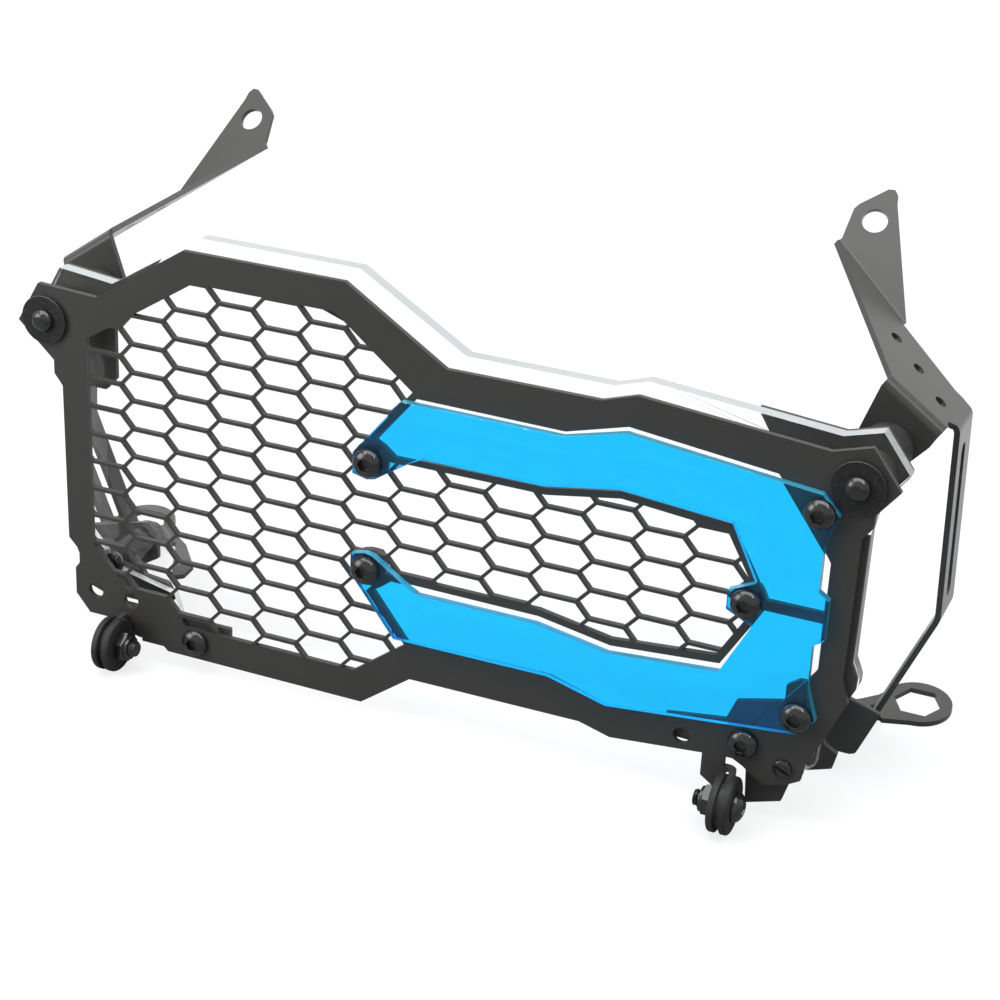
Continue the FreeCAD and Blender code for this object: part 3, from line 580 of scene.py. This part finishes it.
def slotted_rings(length):
    """Rings of the small screw from the end of its plain shank to its low crown."""
    rings = [round_ring(0, -length), round_ring(SLOTTED_R, -length), round_ring(SLOTTED_R, 0),
             round_ring(SLOTTED_HEAD_R - SLOTTED_EDGE, 0), round_ring(SLOTTED_HEAD_R, SLOTTED_EDGE)]
    for step in range(CROWN_STEPS):
        lift = CROWN_STEP * step
        height = SLOTTED_RIM + (SLOTTED_HEAD_H - SLOTTED_RIM) * math.sin(lift)
        rings.append(round_ring(SLOTTED_HEAD_R * math.cos(lift), height))
    return rings + [round_ring(0, SLOTTED_HEAD_H)]


def slot_outline():
    """The driver's slot across the head, turned down to the right."""
    middle = Vector(SLOTTED_PLACE[0])
    along = Vector((math.cos(SLOT_TURN), math.sin(SLOT_TURN))) * SLOT_REACH
    aside = Vector((-math.sin(SLOT_TURN), math.cos(SLOT_TURN))) * SLOT_W / 2
    return [middle + a * along + b * aside for a, b in ((-1, -1), (1, -1), (1, 1), (-1, 1))]


screw = loft("slotted_screw_turned", slotted_rings(2 * SHEET_T + SLOTTED_NUT_H + THREAD_SHOWS),
             across(SLOTTED_PLACE, 0, FRONT), "slotted_screw", zinc_finish)
carve(screw, [slot_outline()], SLOT_FROM, SLOT_BOTTOM)
# The rims' finish is lighter in patches: partly wear, partly a painted highlight on the rim.
washer_finish = [black_zinc("dull black zinc", 0.35, 0.50, 0.3), black_zinc("washer rims with wear and painted highlight", 1.0, 0.30, 1.0)]
SLEEVE_EASE = 0.12 * MM
WASHER_EASE = 0.20 * MM
ease(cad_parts["lower_sleeves"], SLEEVE_EASE, [zinc_finish], 40)
ease(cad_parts["corner_washers"], WASHER_EASE, washer_finish, 40)

# Rubber rollers and pads
# Moulded black rubber with a matt skin: two grooved rollers clamped on the lugs, and thick
# washers either side of the shield.  Fine pores and a little bloom keep the black from being flat.
RUBBER_BLACK = (0.020, 0.020, 0.020, 1)
RUBBER_BLOOM = (0.070, 0.070, 0.068, 1)
BLOOM_PATCH = 6 * MM
RUBBER_PORE = 0.28 * MM
ROLLER_PLACE = (118.1, -8.7, -118.5)
ROLLER_R = 10.0 * MM
ROLLER_HALF = 3.6 * MM
GROOVE_R = 6.2 * MM
FLANGE_ROUND = 1.1 * MM
FLANGE_STEP = math.radians(18)
FLANGE_STEPS = 6
GROOVE_LIP = 0.3 * MM
FACE_RING_IN, FACE_RING_OUT = 7.4 * MM, 8.5 * MM
FACE_RING_DEPTH = 0.2 * MM
PAD_EASE = 0.5 * MM
ROLLER_NUT_H = 3.4 * MM
ROLLER_COLLAR_H = 1.2 * MM
ROLLER_THREAD_SHOWS = 2.2 * MM


def rubber():
    skin = Finish("moulded rubber", Specular_IOR_Level=0.4)
    bloom = skin.noise(BLOOM_PATCH, 4.0, 0.6)
    pores = skin.noise(RUBBER_PORE, 2.0, 0.6)
    colour = skin.mix(bloom.above(0.55, 0.25) * 0.5, RUBBER_BLACK, RUBBER_BLOOM)
    return skin.show(Base_Color=colour, Roughness=0.50 + bloom * 0.2, Normal=skin.bump(pores, 0.05 * MM, 0.5))


def roller_rings():
    """Rings of a roller: one flange, the groove that seats on the lug, the other flange, the bore."""
    half = SHEET_T / 2
    ring_floor = ROLLER_HALF - FACE_RING_DEPTH
    outline = [(SHANK_R, ROLLER_HALF), (FACE_RING_IN, ROLLER_HALF),
               (FACE_RING_IN + FACE_RING_DEPTH, ring_floor),
               (FACE_RING_OUT - FACE_RING_DEPTH, ring_floor), (FACE_RING_OUT, ROLLER_HALF)]
    for step in range(FLANGE_STEPS):
        lift = FLANGE_STEP * step
        outline.append((ROLLER_R - FLANGE_ROUND * (1 - math.sin(lift)),
                        ROLLER_HALF - FLANGE_ROUND * (1 - math.cos(lift))))
    outline += [(ROLLER_R, half + GROOVE_LIP), (ROLLER_R - GROOVE_LIP, half), (GROOVE_R, half)]
    return [round_ring(r, h) for r, h in outline] + [round_ring(r, -h) for r, h in reversed(outline)]


rubber_skin = rubber()
for name in ("front_rubber_pads", "rear_rubber_pads"):
    ease(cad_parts[name], PAD_EASE, [rubber_skin], 40)
outward = {"right": Vector((1, 0, 0)), "left": Vector((-1, 0, 0))}
centre = {side: Vector((ROLLER_PLACE[0] * axis.x, ROLLER_PLACE[1], ROLLER_PLACE[2])) * MM
          for side, axis in outward.items()}
for side, axis in outward.items():
    loft(side + "_roller_moulded", roller_rings(), [(centre[side], axis)], side + "_roller", rubber_skin,
         closed=True)
loft("roller_screws_domed",
     screw_rings(2 * ROLLER_HALF + ROLLER_NUT_H + ROLLER_COLLAR_H + ROLLER_THREAD_SHOWS, HEAD_R, HEAD_H),
     [(centre[side] + axis * ROLLER_HALF, axis) for side, axis in outward.items()],
     "roller_screws", zinc_finish)
loft("roller_nuts_collared", nut_rings(NUT_FLATS, ROLLER_NUT_H, ROLLER_COLLAR_H),
     [(centre[side] - axis * ROLLER_HALF, -axis) for side, axis in outward.items()],
     "roller_nuts", zinc_finish, closed=True)

# Floor
# A wide white studio sheet.  What is seen of it is lifted to white, and the soft shadows under
# the feet stay.
FLOOR_WHITE = (0.26, 0.27, 0.275, 1)
FLOOR_HALF = 6.0
FLOOR_GLOW = 0.79
FAR_GLOW = 0.2
FRONT_MIRRORED = 0.04
BEHIND_MIRRORED = 0.6
BEHIND_FROM, BEHIND_SOFT = 0.10, 0.25
FAR_FROM, FAR_SOFT = 1.0, 0.9


def place_and_distance(board, place):
    """0 in front of the guard and 1 behind it, then 0 close to it and 1 far away."""
    depth = board.node("ShaderNodeSeparateXYZ", {}, {"Vector": place}, "Y")
    distance = board.node("ShaderNodeVectorMath", {"operation": "LENGTH"}, {0: place}, "Value")
    return depth.above(BEHIND_FROM, BEHIND_SOFT), distance.above(FAR_FROM, FAR_SOFT)


def white_floor():
    sheet = Finish("white studio floor", Base_Color=FLOOR_WHITE, Roughness=0.9, Specular_IOR_Level=0.0)
    behind, far = place_and_distance(sheet, sheet.place)
    passed = sheet.ray("Camera") + sheet.ray("Transmission")
    mirrored = sheet.ray("Glossy") * (1 - sheet.ray("Transmission"))
    seen = passed * (FLOOR_GLOW + far * FAR_GLOW) + mirrored * (FRONT_MIRRORED + behind * BEHIND_MIRRORED)
    glow = sheet.node("ShaderNodeEmission", {}, {"Color": (1, 1, 1, 1), "Strength": seen})
    return sheet.surface(sheet.node("ShaderNodeAddShader", {}, {0: sheet.own_shader(), 1: glow}))


floor_mesh = bpy.data.meshes.new("floor")
floor_corners = [(x * FLOOR_HALF, y * FLOOR_HALF, 0) for x, y in ((-1, -1), (1, -1), (1, 1), (-1, 1))]
floor_mesh.from_pydata(floor_corners, [], [(0, 1, 2, 3)])
floor_mesh.materials.append(white_floor())
floor = bpy.data.objects.new("floor", floor_mesh)
bpy.context.scene.collection.objects.link(floor)

# Lights
# A large soft box overhead, a weaker one low at the left, and two small lamps whose reflections
# sparkle on the screw heads.


def soft_box(name, place, aim, size, power):
    lamp = bpy.data.lights.new(name, "AREA")
    lamp.shape = "RECTANGLE"
    lamp.size, lamp.size_y = size
    lamp.energy = power
    holder = bpy.data.objects.new(name, lamp)
    holder.location = place
    holder.rotation_euler = (Vector(aim) - Vector(place)).to_track_quat("-Z", "Y").to_euler()
    bpy.context.scene.collection.objects.link(holder)


soft_box("overhead soft box", place=(0.0, 0.05, 1.35), aim=(0, 0, 0.05), size=(1.9, 1.2), power=23)
soft_box("left soft box", place=(-0.62, -0.5, 0.42), aim=(0, 0, 0.08), size=(0.45, 0.45), power=2.6)
soft_box("left lamp", place=(-0.45, -0.55, 1.0), aim=(0, 0, 0.08), size=(0.08, 0.08), power=1.1)
soft_box("right lamp", place=(0.75, -0.35, 0.95), aim=(0, 0, 0.08), size=(0.08, 0.08), power=1.0)

# Room
# White walls behind the guard and darker ones in front.  They are plain white where they are
# seen, and a weak fill on the object.
ROOM_FILL = 0.12
FRONT_WALL = 0.6
REAR_WALL = 0.9

room = bpy.data.worlds.new("white room")
room.use_nodes = True
bpy.context.scene.world = room
walls = Board(room.node_tree)
behind, _ = place_and_distance(walls, walls.node("ShaderNodeTexCoord", {}, {}, "Generated"))
passed = walls.ray("Camera") + walls.ray("Transmission")
mirrored = walls.ray("Glossy") * (1 - walls.ray("Transmission"))
strength = (ROOM_FILL + passed * (1 - ROOM_FILL)
            + mirrored * (FRONT_WALL - ROOM_FILL + behind * (REAR_WALL - FRONT_WALL)))
background = room.node_tree.nodes["Background"]
walls.join(background.inputs["Color"], (1, 1, 1, 1))
walls.join(background.inputs["Strength"], strength)

# Camera
# It stands in front and to the right with a long lens, and looks down at the plate.  Its place
# and its directions are in the plate's own frame.
CAMERA_PLACE = Vector((275.748, -611.106, 269.162)) * MM
CAMERA_RIGHT = Vector((0.91790, 0.39397, 0.04739))
CAMERA_AHEAD = Vector((-0.34078, 0.84384, -0.41450))
CAMERA_LENS = 78.51
SENSOR_WIDTH = 36
camera_data = bpy.data.cameras.new("camera")
camera_data.lens = CAMERA_LENS
camera_data.sensor_width = SENSOR_WIDTH
camera = bpy.data.objects.new("camera", camera_data)
camera_up = CAMERA_RIGHT.cross(CAMERA_AHEAD)
camera_turn = Matrix((CAMERA_RIGHT, camera_up, -CAMERA_AHEAD)).transposed().to_4x4()
camera.matrix_world = PLATE @ Matrix.Translation(CAMERA_PLACE) @ camera_turn
bpy.context.scene.collection.objects.link(camera)
bpy.context.scene.camera = camera
bpy.context.scene.view_settings.view_transform = "Standard"
